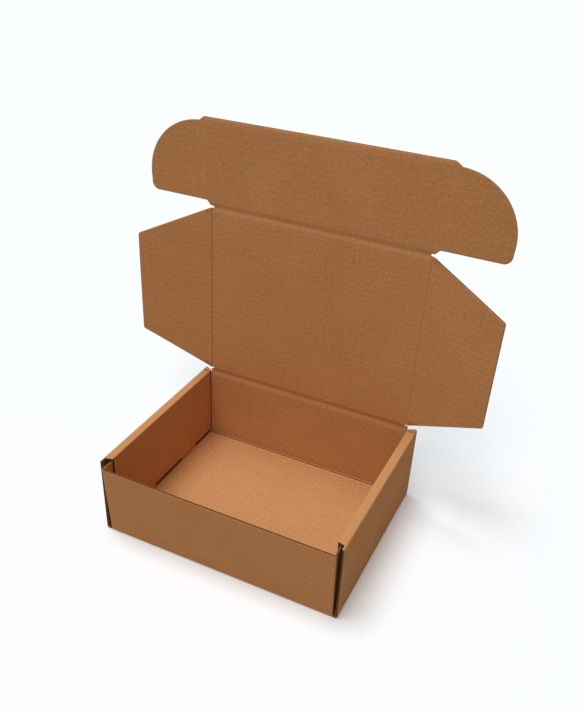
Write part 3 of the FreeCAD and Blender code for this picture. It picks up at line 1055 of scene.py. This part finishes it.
def make_camera():
    azimuth, elevation, roll = (math.radians(v) for v in (24.43, 34.01, 2.79))
    back = Vector((math.sin(azimuth) * math.cos(elevation), -math.cos(azimuth) * math.cos(elevation),
                   math.sin(elevation)))
    level = Vector((math.cos(azimuth), math.sin(azimuth), 0))
    upright = back.cross(level)
    right = level * math.cos(roll) + upright * math.sin(roll)
    up = upright * math.cos(roll) - level * math.sin(roll)
    target = Vector((-0.0239, 0.0982, 0.0780))
    place = target + back * 0.9052
    data = bpy.data.cameras.new("camera")
    camera = bpy.data.objects.new("camera", data)
    camera.matrix_world = Matrix((
        (right.x, up.x, back.x, place.x),
        (right.y, up.y, back.y, place.y),
        (right.z, up.z, back.z, place.z),
        (0, 0, 0, 1),
    ))
    data.lens = 40.26
    data.sensor_width = 36
    data.shift_x = 0.0099
    data.shift_y = 0.0628
    data.clip_start = 0.01
    bpy.context.scene.collection.objects.link(camera)
    bpy.context.scene.camera = camera


def rides(piece, name, body, node=None):
    """Makes a piece's object, sets it on its body, and hides the solid whose place it takes."""
    made = piece.finish(name, BOARD_MATERIALS)
    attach(made, body)
    if node:
        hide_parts(node)
    return made


def bridges(piece, name, bodies, node):
    made = piece.finish(name, BOARD_MATERIALS)
    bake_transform(made)
    return made


def table(*pairs):
    """A function through pairs of distance and value."""
    where = [p[0] for p in pairs]
    values = [p[1] for p in pairs]
    return lambda d: np.interp(d, where, values)


def crease(name, bodies, carry, origin, run, towards, turn, ends, reach, dip_at, blank, node, shade_at=no_shade,
           sink=CREASE_DIP):
    """Adds a bridge at a crease given in a panel's own frame, which carry brings to the box."""
    origin = np.array(origin, float)
    base = carry(origin[None])[0]

    def direction(vector):
        return carry((origin + np.array(vector, float))[None])[0] - base

    run, towards, outward = direction(run), direction(towards), direction((0, 1, 0))
    piece = make_bridge(base, run, towards, outward, turn, ends, reach, dip_at, blank, shade_at, sink)
    axis = np.cross(towards, outward)
    c, s = math.cos(math.radians(turn)), math.sin(math.radians(turn))
    ahead = towards * c + np.cross(axis, towards) * s
    bridges(piece, name, bodies, node)


def make_all_bridges():
    both = (CREASE_REACH, CREASE_REACH)

    def upright(points):
        return points + np.array(LID_PIVOT)

    def same_frame(points):
        return points

    def mirrored_pair(half):
        return lambda d: (-half(d), half(d))

    def even(dip):
        return lambda d: groove(d, CREASE_REACH, dip)

    def scored(middle):
        return lambda d: score(d, middle)

    lid_half = LID_EDGE - NARROW_REACH
    back_half = table((-0.4, TONGUE_X), (0.2, lid_half))
    crease("back_crease", ("tray", "lid"), upright, (0, 0, 0), (1, 0, 0), (0, 0, 1), -LID_LEAN,
           mirrored_pair(back_half), both, scored(BACK_SCORE), (lambda s, t: s, lambda s, t: LID_BLANK[1] + t), "lid")
    front_half = table((-0.2, lid_half), (0.4, float(tuck_reach(0.4))), (CREASE_REACH, float(tuck_reach(CREASE_REACH))))
    crease("lid_front_crease", ("lid", "tuck_flap"), on_lid, (0, 0, LID_LENGTH), (1, 0, 0), (0, 0, 1), TUCK_ANGLE,
           mirrored_pair(front_half), both, scored(FRONT_SCORE), (lambda s, t: s, lambda s, t: TUCK_BLANK[1] + t), "tuck_flap")
    for side, sign in (("left", -1), ("right", 1)):
        ear_blank = (lambda s, t: EAR_PIVOT + t, lambda s, t: TUCK_BLANK[1] + s)
        crease(side + "_ear_crease", ("tuck_flap", side + "_lock_ear"), on_tuck, (sign * EAR_PIVOT, 0, 0),
               (0, 0, 1), (sign, 0, 0), 0.0, lambda d: (NOTCH_HEIGHT + 0 * d, ear_top(EAR_PIVOT + d)), both,
               even(0.22), ear_blank, side + "_lock_ear", sink=EAR_CREASE_DIP)

        def dust_blank(start, sign=sign):
            return lambda s, t: sign * LID_EDGE + start + t, lambda s, t: LID_BLANK[1] + s

        crease(side + "_dust_inner_crease", ("lid", side + "_dust_crease"), on_lid, (sign * LID_EDGE, 0, 0),
               (0, 0, 1), (sign, 0, 0), -DUST_ANGLES[side],
               lambda d: (DUST_START + 0 * d, LID_LENGTH - DUST_START + 0 * d), (NARROW_REACH, NARROW_REACH),
               dust_groove, dust_blank(0.0), side + "_dust_crease", lambda d, side=side: dust_shade(d, side))

        def beside(points, side=side):
            return beside_lid(points, side)

        crease(side + "_dust_outer_crease", (side + "_dust_crease", side + "_dust_flap"), beside,
               (DUST_CREASE, 0, 0), (0, 0, 1), (1, 0, 0), 0.0, lambda d: dust_edges(DUST_CREASE + d),
               (STRIP_REACH, CREASE_REACH), lambda d: dust_groove(DUST_CREASE + d), dust_blank(DUST_CREASE),
               side + "_dust_flap", lambda d, side=side: dust_shade(DUST_CREASE + d, side))

    front_turn = 90 - FRONT_LEAN
    towards, outward = np.array([0, -1.0, 0]), np.array([0, 0, -1.0])
    wall_half = table((-0.4, FLAP_X), (0.4, FLAP_X - FOLD_RADIUS))
    piece = make_bridge(FRONT_PIVOT, (1, 0, 0), towards, outward, -front_turn, mirrored_pair(wall_half), both,
                        front_sink, (lambda s, t: s, lambda s, t: FRONT_Y - t))
    bridges(piece, "front_crease", ("tray", "front_wall"),
            "front_wall")


LIGHT_KRAFT = (0.69, 0.335, 0.138)
DARK_KRAFT = (0.47, 0.198, 0.070)
BOARD_MATERIALS = [
    kraft("kraft_outside", LIGHT_KRAFT, DARK_KRAFT, 0.04, 0.7, 0.4, 0.00006),
    kraft("kraft_inside", LIGHT_KRAFT, DARK_KRAFT, 0.08, 1.0, 0.4, 0.00007),
    kraft("kraft_cut_edge", (0.60, 0.34, 0.17), (0.38, 0.19, 0.08), 0.0, 0.7, 0.5, 0.00012),
    # the medium's near-black kraft is painted shade inside the flutes
    kraft("kraft_medium_painted_shade", (0.13, 0.058, 0.02), (0.07, 0.028, 0.009), 0.0, 0.7, 0.4, 0.00008),
]

make_camera()
make_world()
make_lights()
make_floor(floor_material())

rides(make_tray(), "tray_board", "tray", "tray")
rides(make_front_wall(), "front_wall_board", "front_wall", "front_wall")
rides(make_lid(), "lid_board", "lid", "lid")
rides(make_tuck_flap(), "tuck_flap_board", "tuck_flap", "tuck_flap")
for hand in ("left", "right"):
    rides(make_lock_ear(hand), hand + "_lock_ear_board", hand + "_lock_ear", hand + "_lock_ear")
    rides(make_dust_crease(hand), hand + "_dust_crease_board", hand + "_dust_crease", hand + "_dust_crease")
    rides(make_dust_flap(hand), hand + "_dust_flap_board", hand + "_dust_flap", hand + "_dust_flap")
make_all_bridges()

bpy.context.scene.view_settings.view_transform = "Standard"
